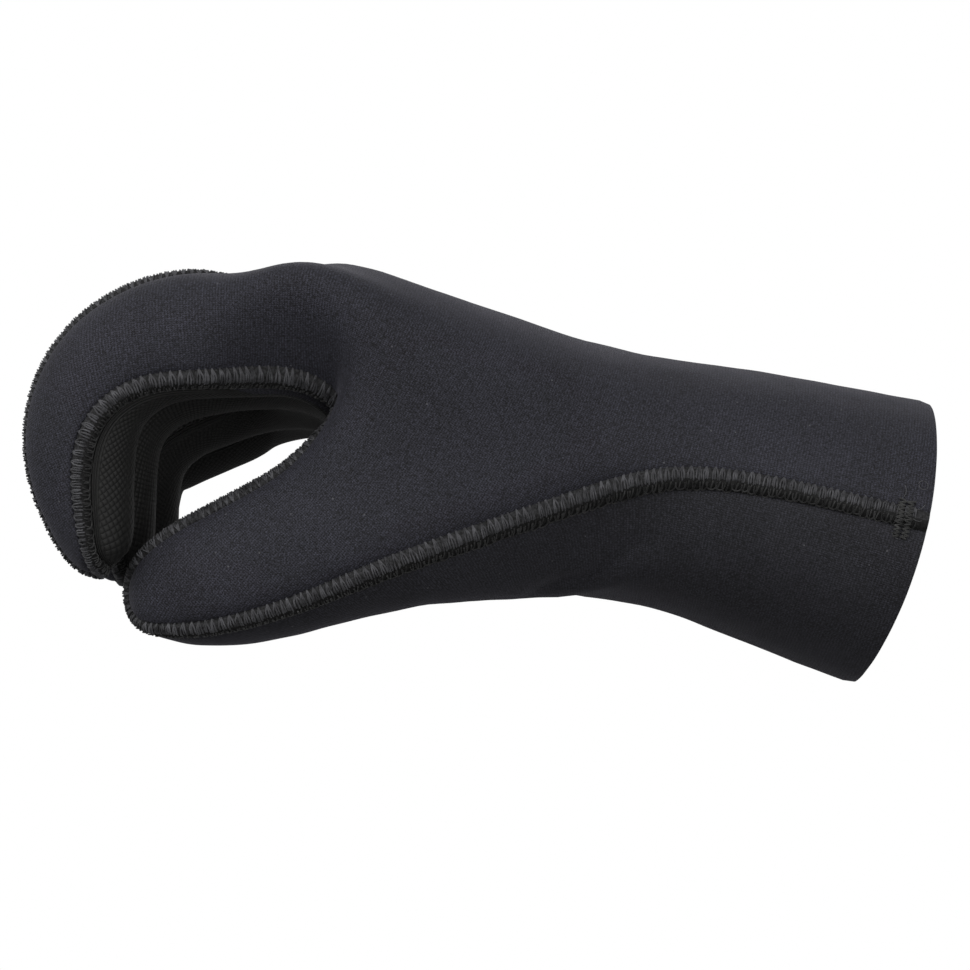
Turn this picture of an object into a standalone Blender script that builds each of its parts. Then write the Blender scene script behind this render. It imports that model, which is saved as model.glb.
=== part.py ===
"""Right-hand neoprene diving glove, in the curled shape of the hand that wears it.

Metres, +Z up. The fingers point along -X with the palm down, the thumb side
faces -Y, and the origin is the centre of the cuff opening. The skin of the
glove is a coarse cage of rings, smoothed by subdivision. It is thickened into
a foam wall and divided along its seam into the back, the palm and the seam.
"""

import math
from collections import namedtuple

import bmesh
import bpy
from mathutils import Vector
from mathutils.bvhtree import BVHTree

MM = 0.001

# Driving sizes, outside the neoprene of an adult's large glove
HAND_LENGTH = 156 * MM  # cuff rim to the web beside the index finger
PALM_WIDTH = 103 * MM  # across the knuckles
CUFF_DEPTH = 73.4 * MM  # the cuff opening from top to bottom
CUFF_BOW = 3.8 * MM  # how much further up the arm the rim reaches at its sides
WALL = 4 * MM  # 5 mm neoprene, stretched over the hand
FINGER_GAP = 2.6 * MM  # between neighbouring fingers
WEB_REACH = 5 * MM  # how far the webs reach ahead of the valleys beside them
LITTLE_DROP = 18 * MM  # how much lower than the index the little finger starts
LITTLE_SLANT = 1 * MM  # how much nearer to the cuff the little finger starts
FINGER_DEPTH = 28.6 * MM  # a finger from back to pad, at its base
THUMB_LENGTH = 64.5 * MM  # ball of the thumb to its tip
THUMB_DEPTH = 40 * MM  # the thumb seen from the side, at its knuckle
THUMB_WIDTH = 36 * MM  # the thumb seen from its tip
SEAM_WIDTH = 5 * MM  # outside
SEAM_ROOT = 1.6 * MM  # width of the seam inside the glove
SEAM_RISE = 1.2 * MM  # how far the seam stands proud of the panels
WEB_FLAT = 10 * MM  # distance from a web over which the seam sinks to nothing
PIECE_GAP = 0.3 * MM  # between touching pieces, outside
ROOT_GAP = 0.5 * MM  # between touching pieces, inside the glove

# Rings of the sleeve and palm, from the cuff rim to the webs. Along and rise
# are shares of HAND_LENGTH, depth of CUFF_DEPTH, width of PALM_WIDTH. Square is
# the outline's squareness, where 2 is an ellipse. Lean, seam and heel are
# degrees: the ring's tilt, how far the thumb-side seam lies above the side, and
# where the palm's first point lies. Ball is how far the ball of the thumb lowers
# that point, as a share of CUFF_DEPTH. Digits says how far the ring has split
# into four fingers, and drop how far its little-finger side has dropped.
HandSection = namedtuple(
    "HandSection", "along rise depth width square lean seam heel ball digits drop"
)
HAND_SECTIONS = (
    HandSection(0.000, 0.000, 1.000, 0.78, 2.0, 15.4, 11, -8, 0.00, 0.0, 0.0),
    HandSection(0.128, 0.035, 0.943, 0.74, 2.0, 14.8, 10, -8, 0.00, 0.0, 0.0),
    HandSection(0.262, 0.074, 0.886, 0.71, 2.1, 14.4, 7, -16, 0.00, 0.0, 0.0),
    HandSection(0.388, 0.1016, 0.838, 0.70, 2.2, 12.2, 2, -38, 0.00, 0.0, 0.0),
    HandSection(0.518, 0.121, 0.868, 0.76, 2.3, 10.0, -12, -66, 0.06, 0.0, 0.0),
    HandSection(0.690, 0.246, 0.640, 0.90, 2.6, 9.0, -40, -80, 0.33, 0.15, 0.5),
    HandSection(0.849, 0.333, 0.545, 0.98, 3.0, 8.0, -66, -71, 0.06, 0.7, 0.8),
    HandSection(0.930, 0.355, 0.490, 0.99, 3.0, 4.0, -60, -65, 0.00, 0.9, 0.95),
    HandSection(1.000, 0.347, 0.462, 0.97, 3.0, 2.0, -54, -60, 0.00, 1.0, 1.05),
)
BALL_SPREAD = 0.45  # how much of the ball of the thumb's depth the next point has
THUMB_RINGS = (4, 6)  # the sections between which the thumb leaves the palm
CROTCH = (7, -1)  # section and point in the fold between the thumb and the index finger
FINGER_SPLITS = (-1.0, -0.47, 0.03, 0.53, 1.0)  # finger edges across the palm
SIDES = (0.97, 0.96)  # shares of half the palm where the outer fingers' backs begin
VALLEY = 0.62  # height of the valleys between the finger bases, as a share
RING = 20  # points round the sleeve: side, nine back, side, nine palm
DIGIT_RING = 8  # points round a finger: seam, three back, seam, three pad

# Fingers. Length is in millimetres, width and depth are shares of the room
# between the splits and of FINGER_DEPTH. Start, middle, tip and inward are
# degrees: where the finger points below -X at its base, how far its middle and
# tip joints bend and how far it leans towards the thumb. Late is the power that
# puts off the middle joint's bend. Back_faces counts the faces round it that
# are back panel. Back_seam is where the seam away from the thumb lies, in
# degrees from the thumb side round over the back, and pad_seam says how much of
# FINGER_SECTIONS' swing the seam towards the thumb has.
Finger = namedtuple(
    "Finger", "length width depth start middle tip inward late back_faces back_seam pad_seam"
)
FINGERS = (
    Finger(90, 1.00, 1.00, 2.5, 86, 17, 0, 1.0, 3, 96, 1.0),  # index
    Finger(86, 1.00, 1.00, 6, 84, 14, 1, 1.0, 4, 150, 0.4),  # middle
    Finger(79, 0.98, 0.97, 16, 76, 14, 2, 1.3, 4, 160, 0.4),  # ring
    Finger(69, 0.95, 0.84, 24, 66, 12, 4, 4.0, 4, 165, 0.4),  # little
)
# Rings along a finger. Along is a share of its length, middle and tip are the
# shares of those joints' bends that are done there, width and depth are shares
# of the finger's own, turn is how far the seams have swung from its sides, and
# pad_seam is where the seam towards the thumb lies then, in degrees.
FingerSection = namedtuple("FingerSection", "along middle tip width depth turn pad_seam")
FINGER_SECTIONS = (
    FingerSection(0.12, 0.00, 0.0, 0.98, 1.12, 0.60, -42),
    FingerSection(0.25, 0.14, 0.0, 1.00, 1.09, 1.00, -42),
    FingerSection(0.38, 0.41, 0.0, 1.00, 1.07, 1.00, -32),
    FingerSection(0.51, 0.70, 0.1, 0.98, 1.03, 1.00, -18),
    FingerSection(0.63, 0.93, 0.4, 0.95, 0.97, 1.00, -5),
    FingerSection(0.75, 1.00, 0.7, 0.92, 0.87, 1.00, 5),
    FingerSection(0.86, 1.00, 1.0, 0.86, 0.71, 1.00, 14),
    FingerSection(0.95, 1.00, 1.0, 0.72, 0.50, 1.00, 28),
)

# Rings along the thumb. Along is a share of THUMB_LENGTH, heading and lean are
# degrees below -X and off upright, depth and width are shares of the thumb's,
# and lower and upper are where its two seams lie, in degrees above its side.
THUMB_BASE = (0.813, 0.036)  # shares of HAND_LENGTH
THUMB_SIDE = -0.60  # share of half of PALM_WIDTH
THUMB_BACK_FACES = 4  # of the eight faces round the thumb
ThumbSection = namedtuple("ThumbSection", "along heading lean depth width lower upper")
THUMB_SECTIONS = (
    ThumbSection(0.000, 23.0, 36.6, 1.34, 1.10, -23, 80),
    ThumbSection(0.224, 19.8, 25.5, 1.12, 1.00, -27, 70),
    ThumbSection(0.423, 18.0, 19.8, 1.05, 0.97, -30, 64),
    ThumbSection(0.592, 14.0, 16.4, 0.965, 0.92, -32, 62),
    ThumbSection(0.742, 9.5, 13.0, 0.85, 0.84, -36, 62),
    ThumbSection(0.867, 10.3, 8.0, 0.65, 0.68, -42, 62),
    ThumbSection(0.951, -8.0, 4.0, 0.43, 0.48, -52, 60),
)

BARTACK_LENGTH = 10 * MM  # along the cuff rim, across the end of the seam
BARTACK_WIDTH = 4.2 * MM
BARTACK_RISE = 0.6 * MM
BARTACK_SETBACK = 4 * MM  # from the cuff rim
BARTACK_TOP = 0.86  # size of its top, as a share of its foot
BARTACK_STEPS = (10, 4)  # faces along it and across it

SMOOTHING_LEVELS = 1
FIT_ROUNDS = 1  # times the cage is corrected so that the skin meets the rings
TIGHTEST = 2 * MM  # half the room inside a fingertip, at least
TIGHT_REACH = (9 * MM, 24 * MM)  # distances from a tip, web or fold: tight, no longer tight
SEAM_PINCH = 0.6  # how far the seam's edge may go to the next points beside it

BACK, PALM, SEAM, GAP = range(4)
PANELS = (
    # name, colour, roughness
    ("back_panel", (0.022, 0.022, 0.028, 1), 0.85),
    ("palm_panel", (0.010, 0.011, 0.010, 1), 0.80),
    ("perimeter_seam", (0.035, 0.036, 0.037, 1), 0.65),
)
THREAD_COLOUR = (0.045, 0.046, 0.047, 1)
COLLECTION = "diving_glove"


def clear_scene():
    for obj in list(bpy.data.objects):
        bpy.data.objects.remove(obj, do_unlink=True)


def digit_grid():
    """Places across the palm of the nine points between the side seams."""
    places = []
    for left, right in zip(FINGER_SPLITS, FINGER_SPLITS[1:]):
        places += [left, (left + right) / 2]
    return [-SIDES[0]] + places[1:] + [SIDES[1]]


def hand_angles(section):
    """Degrees round the ring of its points, over the back from the thumb-side seam."""
    half = RING // 2
    back = [section.seam + (180 - section.seam) * n / half for n in range(half)]
    palm = [180 + (180 + section.heel) * n / (half - 1) for n in range(half)]
    for n, across in enumerate(digit_grid(), start=1):
        split = math.degrees(math.acos(math.copysign(abs(across) ** (section.square / 2), -across)))
        back[n] += (split - back[n]) * section.digits
        if n > 2:
            palm[half - n] += (360 - split - palm[half - n]) * section.digits
    middle = (palm[half - 3] + 360 + section.heel) / 2
    palm[half - 2] += (middle - palm[half - 2]) * section.digits
    return back + palm


def spread(value, squareness):
    """A sine or cosine, moved out onto a rounded box of this squareness."""
    return math.copysign(abs(value) ** (2 / squareness), value)


def hand_ring(section, wall):
    """The ring's points, starting at the thumb-side seam and going over the back."""
    centre = Vector((-section.along, 0, section.rise)) * HAND_LENGTH
    half_width = section.width * PALM_WIDTH / 2 - wall
    half_depth = section.depth * CUFF_DEPTH / 2 - wall
    lean = math.radians(section.lean)
    up = Vector((math.sin(lean), 0, math.cos(lean)))
    valleys = [side * (2 * n + 1) % RING for n in range(1, len(FINGERS)) for side in (1, -1)]
    points = []
    for n, angle in enumerate(hand_angles(section)):
        across = -spread(math.cos(math.radians(angle)), section.square)
        height = spread(math.sin(math.radians(angle)), section.square)
        if n in valleys:
            height *= 1 - (1 - VALLEY) * section.digits**4
        ulnar = (across + 1) / 2 * section.drop
        shift = Vector((LITTLE_SLANT * ulnar, across * half_width, -LITTLE_DROP * ulnar**1.3))
        if section.along == 0:
            shift += Vector((up.z, 0, -up.x)) * CUFF_BOW * across**2
        if n >= RING - 2:
            ball = section.ball * (1 if n == RING - 1 else BALL_SPREAD)
            shift.z -= ball * CUFF_DEPTH
        points.append(centre + shift + up * height * half_depth)
    return points


def digit_ring(centre, along, half_width, half_depth, seams, back_faces):
    """Eight points round a digit. Angle 0 is towards the thumb side, and 90 is the back."""
    side = Vector((0, -1, 0))
    back = along.cross(side).normalized()
    side = back.cross(along).normalized()
    first, second = seams
    points = []
    for n in range(DIGIT_RING):
        if n <= back_faces:
            angle = first + (second - first) * n / back_faces
        else:
            pad_share = (n - back_faces) / (DIGIT_RING - back_faces)
            angle = second + (360 + first - second) * pad_share
        angle = math.radians(angle)
        points.append(
            centre + side * math.cos(angle) * half_width + back * math.sin(angle) * half_depth
        )
    return points


def finger_rings(finger, room, base, first_seam, wall):
    """Rings of one finger and its tip point.

    Base is the middle of its first ring, and first_seam is where the seam
    nearest the thumb lies there.
    """
    length = finger.length * MM
    half_width = (room - FINGER_GAP) / 2 * finger.width
    half_depth = FINGER_DEPTH / 2 * finger.depth
    inward = math.radians(finger.inward)
    rings = []
    point, reached, heading = base.copy(), 0.0, finger.start
    for section in FINGER_SECTIONS:
        bent = finger.middle * section.middle**finger.late + finger.tip * section.tip
        next_heading = finger.start + bent
        for part in (heading, next_heading):
            angle = math.radians(part)
            along = Vector(
                (-math.cos(angle) * math.cos(inward), -math.sin(inward), -math.sin(angle))
            ).normalized()
            point = point + along * (section.along - reached) * length / 2
        reached, heading = section.along, next_heading
        side_seam = 45 * finger.back_faces
        seams = (
            first_seam + (section.pad_seam * finger.pad_seam - first_seam) * section.turn,
            side_seam + (finger.back_seam - side_seam) * section.turn,
        )
        rings.append(
            digit_ring(
                point,
                along,
                max(half_width * section.width - wall, TIGHTEST),
                max(half_depth * section.depth - wall, TIGHTEST),
                seams,
                finger.back_faces,
            )
        )
    return rings, point + along * ((1 - reached) * length - wall)


def thumb_rings(wall):
    """Rings of the thumb and its tip point."""
    point = Vector((-THUMB_BASE[0], 0, THUMB_BASE[1])) * HAND_LENGTH
    point.y = THUMB_SIDE * PALM_WIDTH / 2
    rings = []
    reached, heading = 0.0, THUMB_SECTIONS[0].heading
    for section in THUMB_SECTIONS:
        angle = math.radians(heading)
        along = Vector((-math.cos(angle), 0, -math.sin(angle)))
        point = point + along * (section.along - reached) * THUMB_LENGTH
        reached, heading = section.along, section.heading
        lean = math.radians(section.lean)
        rings.append(
            digit_ring(
                point,
                Vector((-math.cos(lean), 0, -math.sin(lean))),
                THUMB_WIDTH / 2 * section.width - wall,
                THUMB_DEPTH / 2 * section.depth - wall,
                (section.lower, section.upper),
                THUMB_BACK_FACES,
            )
        )
    angle = math.radians(heading)
    along = Vector((-math.cos(angle), 0, -math.sin(angle)))
    return rings, point + along * ((1 - reached) * THUMB_LENGTH - wall)


class Cage:
    """The coarse cage under construction: its points and its faces by panel."""

    def __init__(self):
        self.points = []
        self.faces = []
        self.panels = []
        self.tips = []
        self.webs = []

    def add(self, point):
        self.points.append(point)
        return len(self.points) - 1

    def add_face(self, corners, panel):
        self.faces.append(corners)
        self.panels.append(panel)

    def join(self, near, far, back_faces):
        """Quads between two rings. The first ones of each ring lie in the back panel."""
        count = len(near)
        for n in range(count):
            m = (n + 1) % count
            self.add_face((near[n], near[m], far[m], far[n]), BACK if n < back_faces else PALM)

    def digit(self, base, rings, tip, back_faces):
        """A finger or thumb from its base ring, closed by a few faces round its tip point."""
        near = base
        for ring in rings:
            far = [self.add(point) for point in ring]
            self.join(near, far, back_faces)
            near = far
        self.tips.append(tip)
        tip = self.add(tip)
        for start, end, panel in ((0, back_faces, BACK), (back_faces, DIGIT_RING, PALM)):
            while start < end:
                step = 3 if end - start == 3 else 2
                corners = [near[n % DIGIT_RING] for n in range(start, start + step + 1)]
                self.add_face([tip] + corners, panel)
                start += step


def build_hand(cage, wall):
    """Adds the sleeve and palm, and returns the index of each ring's points."""
    first, last = THUMB_RINGS
    rings = []
    for number, section in enumerate(HAND_SECTIONS):
        inside_hole = first < number < last
        points = hand_ring(section, wall)
        rings.append(
            [None if inside_hole and n == 0 else cage.add(p) for n, p in enumerate(points)]
        )
    for number, (near, far) in enumerate(zip(rings, rings[1:])):
        for n in range(RING):
            m = (n + 1) % RING
            if first <= number < last and 0 in (n, m):
                continue
            cage.add_face((near[n], near[m], far[m], far[n]), BACK if n < RING / 2 else PALM)
    return rings


def build_fingers(cage, last_ring, wall):
    """Adds the webs and the four fingers to the palm's last ring."""
    half = RING // 2
    splits = [2 * n + 1 for n in range(len(FINGERS) + 1)]
    webs = []
    for split in splits[1:-1]:
        over, under = cage.points[last_ring[split]], cage.points[last_ring[RING - split]]
        webs.append(cage.add((over + under) / 2 + Vector((wall - WEB_REACH, 0, 0))))
    cage.webs = [cage.points[n] for n in webs]
    sides = [last_ring[0]] + webs + [last_ring[half]]
    for number, finger in enumerate(FINGERS):
        left, right = splits[number], splits[number + 1]
        base = [sides[number]] + [last_ring[n] for n in range(left, right + 1)]
        base += [sides[number + 1]] + [last_ring[RING - n] for n in range(right, left - 1, -1)]
        middle = (cage.points[last_ring[left + 1]] + cage.points[last_ring[RING - left - 1]]) / 2
        room = (FINGER_SPLITS[number + 1] - FINGER_SPLITS[number]) * PALM_WIDTH / 2
        middle.y = (FINGER_SPLITS[number + 1] + FINGER_SPLITS[number]) * PALM_WIDTH / 4
        first_seam = 0 if number else HAND_SECTIONS[-1].seam
        rings, tip = finger_rings(finger, room, middle, first_seam, wall)
        cage.digit(base, rings, tip, finger.back_faces)


def build_thumb(cage, rings, wall):
    first, last = THUMB_RINGS
    between = range(first + 1, last)
    base = [rings[first][0], rings[first][1]]
    base += [rings[n][1] for n in between]
    base += [rings[last][1], rings[last][0], rings[last][-1]]
    base += [rings[n][-1] for n in reversed(between)]
    base += [rings[first][-1]]
    cage.digit(base, *thumb_rings(wall), THUMB_BACK_FACES)


def build_cage(wall):
    """The cage of the surface that lies this far inside the glove, and its rings."""
    cage = Cage()
    rings = build_hand(cage, wall)
    build_fingers(cage, rings[-1], wall)
    build_thumb(cage, rings, wall)
    return cage, rings


def evaluated_mesh(obj):
    graph = bpy.context.evaluated_depsgraph_get()
    return bpy.data.meshes.new_from_object(obj.evaluated_get(graph))


def smooth_skin(cage):
    """The subdivided skin. The cage is corrected until the skin passes through its rings."""
    mesh = bpy.data.meshes.new("cage")
    mesh.from_pydata([tuple(p) for p in cage.points], [], cage.faces)
    for polygon, panel in zip(mesh.polygons, cage.panels):
        polygon.material_index = panel
    obj = bpy.data.objects.new("cage", mesh)
    bpy.context.scene.collection.objects.link(obj)
    subdivision = obj.modifiers.new("smooth", "SUBSURF")
    subdivision.levels = subdivision.render_levels = SMOOTHING_LEVELS
    for _ in range(FIT_ROUNDS):
        bpy.context.view_layer.update()
        skin = evaluated_mesh(obj)
        for vertex, wanted in zip(mesh.vertices, cage.points):
            vertex.co += wanted - skin.vertices[vertex.index].co
        mesh.update()
        bpy.data.meshes.remove(skin)
    bpy.context.view_layer.update()
    skin = evaluated_mesh(obj)
    bpy.data.objects.remove(obj)
    return skin


def line_skin(mesh, narrow_mesh, tight):
    """Moves a copy of the skin to the inside of the wall.

    It follows the skin's normals, but near the tight points, where those would
    cross, it follows the smaller cage.
    """
    start, end = TIGHT_REACH
    lining = mesh.copy()
    for vert, outer, narrow in zip(lining.vertices, mesh.vertices, narrow_mesh.vertices):
        distance = min((outer.co - point).length for point in tight)
        share = min(max((end - distance) / (end - start), 0), 1)
        vert.co = (outer.co - outer.normal * WALL).lerp(narrow.co, share)
    lining.update()
    return lining


def reach_inward(vert, region):
    """How the corner of a region moves away from its seam: a direction, and the way to go."""
    faces = [face for face in vert.link_faces if face in region]
    normal = sum((face.normal for face in faces), Vector()).normalized()
    aside, ahead, rim = [], [], None
    for edge in vert.link_edges:
        own = [face for face in edge.link_faces if face in region]
        if not own:
            continue
        way = edge.other_vert(vert).co - vert.co
        if len(own) == 1 and not edge.is_boundary:
            across = normal.cross(way).normalized()
            inward = across.dot(own[0].calc_center_median() - vert.co) > 0
            aside.append(across if inward else -across)
            continue
        ahead.append(way)
        if edge.is_boundary:
            rim = way.normalized()
    direction = rim or sum(aside, Vector()).normalized()
    if not ahead:
        ahead = [faces[0].calc_center_median() - vert.co]
    return direction, 1 / max(direction.dot(aside[0]), 0.7), ahead


def inset(skin, panel, width):
    """Narrows a panel by width along its seams, and returns the faces left beside it."""
    faces = [face for face in skin.faces if face.material_index == panel]
    strips = bmesh.ops.inset_region(skin, faces=faces, thickness=0, use_boundary=False)["faces"]
    region = set(faces)
    skin.normal_update()
    edge_verts = {v for f in faces for v in f.verts} & {v for f in strips for v in f.verts}
    moved = {}
    for vert in edge_verts:
        direction, stretch, ahead = reach_inward(vert, region)
        room = min(max(step.dot(direction), 0) for step in ahead)
        moved[vert] = vert.co + direction * min(width * stretch, room * SEAM_PINCH)
    for vert, point in moved.items():
        vert.co = point
    return strips


def divide(mesh, seam_width, gap):
    """Divides a skin into panels and seam. Also returns the ridge and the gap faces."""
    skin = bmesh.new()
    skin.from_mesh(mesh)
    sides = [inset(skin, panel, seam_width / 2) for panel in (BACK, PALM)]
    near, far = ({vert for face in strips for vert in face.verts} for strips in sides)
    for face in sides[0] + sides[1]:
        face.material_index = SEAM
    gaps = []
    for panel in (BACK, PALM, SEAM):
        gaps += inset(skin, panel, gap / 2)
    skin.normal_update()
    skin.verts.index_update()
    return skin, near & far, gaps


def link(name, mesh, colour, roughness):
    material = bpy.data.materials.new(name)
    material.use_nodes = True
    shader = material.node_tree.nodes["Principled BSDF"]
    shader.inputs["Base Color"].default_value = colour
    shader.inputs["Roughness"].default_value = roughness
    mesh.materials.clear()
    mesh.materials.append(material)
    mesh.shade_smooth()
    mesh.set_sharp_from_angle(angle=math.radians(45))
    bpy.data.collections[COLLECTION].objects.link(bpy.data.objects.new(name, mesh))


def wall_faces(points, a, b, c, d):
    """Two triangles that share the shorter diagonal, so that facing walls stay parallel."""
    ends = [Vector(points[n]) for n in (a, b, c, d)]
    if (ends[0] - ends[2]).length < (ends[1] - ends[3]).length:
        return [[a, b, c], [a, c, d]]
    return [[a, b, d], [b, c, d]]


def panel_solid(skin, inner, panel):
    """A closed wall from the skin's faces of one panel to the same faces inside."""
    faces = [face for face in skin.faces if face.material_index == panel]
    numbers = sorted({vert.index for face in faces for vert in face.verts})
    place = {number: n for n, number in enumerate(numbers)}
    count = len(numbers)
    points = [skin.verts[n].co[:] for n in numbers] + [inner[n][:] for n in numbers]
    polygons = []
    for face in faces:
        corners = [place[vert.index] for vert in face.verts]
        polygons.append(corners)
        polygons.append([n + count for n in reversed(corners)])
        for loop in face.loops:
            others = [other.material_index for other in loop.edge.link_faces]
            if others.count(panel) == 1:
                a, b = place[loop.vert.index], place[loop.link_loop_next.vert.index]
                polygons += wall_faces(points, b, a, a + count, b + count)
    mesh = bpy.data.meshes.new(PANELS[panel][0])
    mesh.from_pydata(points, [], polygons)
    return mesh


def bartack(name, rims, number, surface):
    """A dense pad of stitches across the end of the seam, laid over the skin."""
    rim = rims[0][number]
    arm = (rims[1][number] - rim).normalized()
    across = (rims[0][number + 1] - rims[0][number - 1]).normalized()
    outward = across.cross(arm).normalized()
    if outward.dot(rim) < 0:
        outward = -outward
        across = -across
    middle = rim + arm * (BARTACK_SETBACK + BARTACK_WIDTH / 2)
    long, wide = BARTACK_STEPS
    points = []
    for height, share in ((PIECE_GAP, 1.0), (PIECE_GAP + BARTACK_RISE, BARTACK_TOP)):
        for i in range(long + 1):
            for j in range(wide + 1):
                along = (i / long - 0.5) * BARTACK_LENGTH * share
                aside = (j / wide - 0.5) * BARTACK_WIDTH * share
                above = middle + across * along + arm * aside + outward * CUFF_DEPTH / 4
                point = surface.ray_cast(above, -outward)[0]
                points.append(point + outward * height)
    count = (long + 1) * (wide + 1)
    top = [[n * (wide + 1) + m for m in range(wide + 1)] for n in range(long + 1)]
    quads = []
    for near, far in zip(top, top[1:]):
        for m in range(wide):
            quads.append((near[m], near[m + 1], far[m + 1], far[m]))
    polygons = quads + [tuple(n + count for n in reversed(quad)) for quad in quads]
    edge = top[0] + [row[-1] for row in top[1:]] + top[-1][-2::-1]
    edge += [row[0] for row in reversed(top[1:-1])]
    for a, b in zip(edge, edge[1:] + edge[:1]):
        polygons.append((b, a, a + count, b + count))
    mesh = bpy.data.meshes.new(name)
    mesh.from_pydata([point[:] for point in points], [], polygons)
    solid = bmesh.new()
    solid.from_mesh(mesh)
    bmesh.ops.recalc_face_normals(solid, faces=solid.faces)
    solid.to_mesh(mesh)
    solid.free()
    return mesh


def main():
    clear_scene()
    collection = bpy.data.collections.new(COLLECTION)
    bpy.context.scene.collection.children.link(collection)
    cage, rings = build_cage(0)
    rims = [[cage.points[n] for n in ring] for ring in rings[:2]]
    outside, narrow = smooth_skin(cage), smooth_skin(build_cage(WALL)[0])
    section, number = CROTCH
    tight = cage.tips + cage.webs + [cage.points[rings[section][number]]]
    inside = line_skin(outside, narrow, tight)
    skin, ridge, gaps = divide(outside, SEAM_WIDTH, PIECE_GAP)
    lining, _, _ = divide(inside, SEAM_ROOT, ROOT_GAP)
    inner = [vert.co.copy() for vert in lining.verts]
    for vert in ridge:
        web_distance = min((vert.co - web).length for web in cage.webs)
        vert.co += vert.normal * SEAM_RISE * min(web_distance / WEB_FLAT, 1)
    surface = BVHTree.FromBMesh(skin)
    for face in gaps:
        face.material_index = GAP
    skin.verts.ensure_lookup_table()
    for panel, (name, colour, roughness) in enumerate(PANELS):
        link(name, panel_solid(skin, inner, panel), colour, roughness)
    for name, number in (("bartack_thumb_side", 0), ("bartack_little_side", RING // 2)):
        link(name, bartack(name, rims, number, surface), THREAD_COLOUR, 0.6)
    skin.free()
    lining.free()
    for mesh in (outside, narrow, inside):
        bpy.data.meshes.remove(mesh)


main()
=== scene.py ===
"""The looks of the diving glove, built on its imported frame.

The glove's skin is the same cage of rings as in the model, subdivided finely
and thickened to the same wall. It carries a raised overlocked seam with its
threads, a bartack at each end of the seam, a knitted face, an embossed palm
and a little lint.
"""

import math
import random
from bisect import bisect
from collections import Counter, namedtuple

import bmesh
import bpy
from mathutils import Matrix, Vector, noise
from mathutils.bvhtree import BVHTree


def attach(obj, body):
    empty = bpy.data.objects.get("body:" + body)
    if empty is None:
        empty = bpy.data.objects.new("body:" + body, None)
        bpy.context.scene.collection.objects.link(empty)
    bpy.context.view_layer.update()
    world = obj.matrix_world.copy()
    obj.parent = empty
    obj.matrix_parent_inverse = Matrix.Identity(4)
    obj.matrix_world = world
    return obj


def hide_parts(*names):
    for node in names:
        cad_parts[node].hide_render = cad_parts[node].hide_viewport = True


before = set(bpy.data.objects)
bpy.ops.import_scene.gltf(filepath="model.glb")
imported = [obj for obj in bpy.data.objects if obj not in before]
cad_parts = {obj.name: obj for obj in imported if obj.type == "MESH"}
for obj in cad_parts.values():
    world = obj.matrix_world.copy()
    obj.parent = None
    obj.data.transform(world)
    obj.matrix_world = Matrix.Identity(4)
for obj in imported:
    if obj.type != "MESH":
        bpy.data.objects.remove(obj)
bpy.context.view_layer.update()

MM = 0.001


def table(name, fields, *rows):
    row = namedtuple(name, fields)
    return [row(*values) for values in rows]


# Driving sizes, outside the neoprene of an adult's large glove
HAND_LENGTH = 156 * MM  # cuff rim to the web beside the index finger
PALM_WIDTH = 103 * MM  # across the knuckles
CUFF_DEPTH = 73.4 * MM  # the cuff opening from top to bottom
CUFF_BOW = 3.8 * MM  # how much further up the arm the rim reaches at its sides
WALL = 4 * MM  # 5 mm neoprene, stretched over the hand
FINGER_GAP = 2.6 * MM  # between neighbouring fingers
WEB_REACH = 5 * MM  # how far the webs reach ahead of the valleys beside them
LITTLE_DROP = 18 * MM  # how much lower than the index the little finger starts
LITTLE_SLANT = 1 * MM  # how much nearer to the cuff it starts
FINGER_DEPTH = 28.6 * MM  # a finger from back to pad, at its base
THUMB_LENGTH = 64.5 * MM  # ball of the thumb to its tip
THUMB_DEPTH = 40 * MM  # the thumb seen from the side, at its knuckle
THUMB_WIDTH = 36 * MM  # the thumb seen from its tip
SEAM_WIDTH = 5 * MM  # outside
SEAM_ROOT = 1.6 * MM  # width of the seam inside the glove
SEAM_RISE = 1.2 * MM  # how far the seam stands proud of the panels
WEB_FLAT = 10 * MM  # distance from a web over which the seam sinks to nothing

# Rings of the sleeve and palm, from the cuff rim to the webs. Along and rise
# are shares of HAND_LENGTH, depth and ball of CUFF_DEPTH, width of PALM_WIDTH.
# Square is 2 for an ellipse. Lean, seam and heel are degrees: the ring's tilt,
# and where the thumb-side seam and the palm's first point lie above the side.
# Ball is how far the ball of the thumb lowers that point. Digits says how far
# the ring has split into fingers, and drop how far its little-finger side drops.
HAND_SECTIONS = table(
    "HandSection",
    "along rise depth width square lean seam heel ball digits drop",
    (0.000, 0.000, 1.000, 0.78, 2.0, 15.4, 11, -8, 0.00, 0.0, 0.0),
    (0.128, 0.035, 0.943, 0.74, 2.0, 14.8, 10, -8, 0.00, 0.0, 0.0),
    (0.262, 0.074, 0.886, 0.71, 2.1, 14.4, 7, -16, 0.00, 0.0, 0.0),
    (0.388, 0.1016, 0.838, 0.70, 2.2, 12.2, 2, -38, 0.00, 0.0, 0.0),
    (0.518, 0.121, 0.868, 0.76, 2.3, 10.0, -12, -66, 0.06, 0.0, 0.0),
    (0.690, 0.246, 0.640, 0.90, 2.6, 9.0, -40, -80, 0.33, 0.15, 0.5),
    (0.849, 0.333, 0.545, 0.98, 3.0, 8.0, -66, -71, 0.06, 0.7, 0.8),
    (0.930, 0.355, 0.490, 0.99, 3.0, 4.0, -60, -65, 0.00, 0.9, 0.95),
    (1.000, 0.347, 0.462, 0.97, 3.0, 2.0, -54, -60, 0.00, 1.0, 1.05),
)
BALL_SPREAD = 0.45  # how much of the ball of the thumb's depth the next point has
THUMB_RINGS = (4, 6)  # sections between which the thumb leaves the palm
CROTCH = (7, -1)  # section and point in the fold between the thumb and the index finger
FINGER_SPLITS = (-1.0, -0.47, 0.03, 0.53, 1.0)  # finger edges across the palm
SIDES = (0.97, 0.96)  # shares of half the palm where the outer fingers' backs begin
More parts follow.
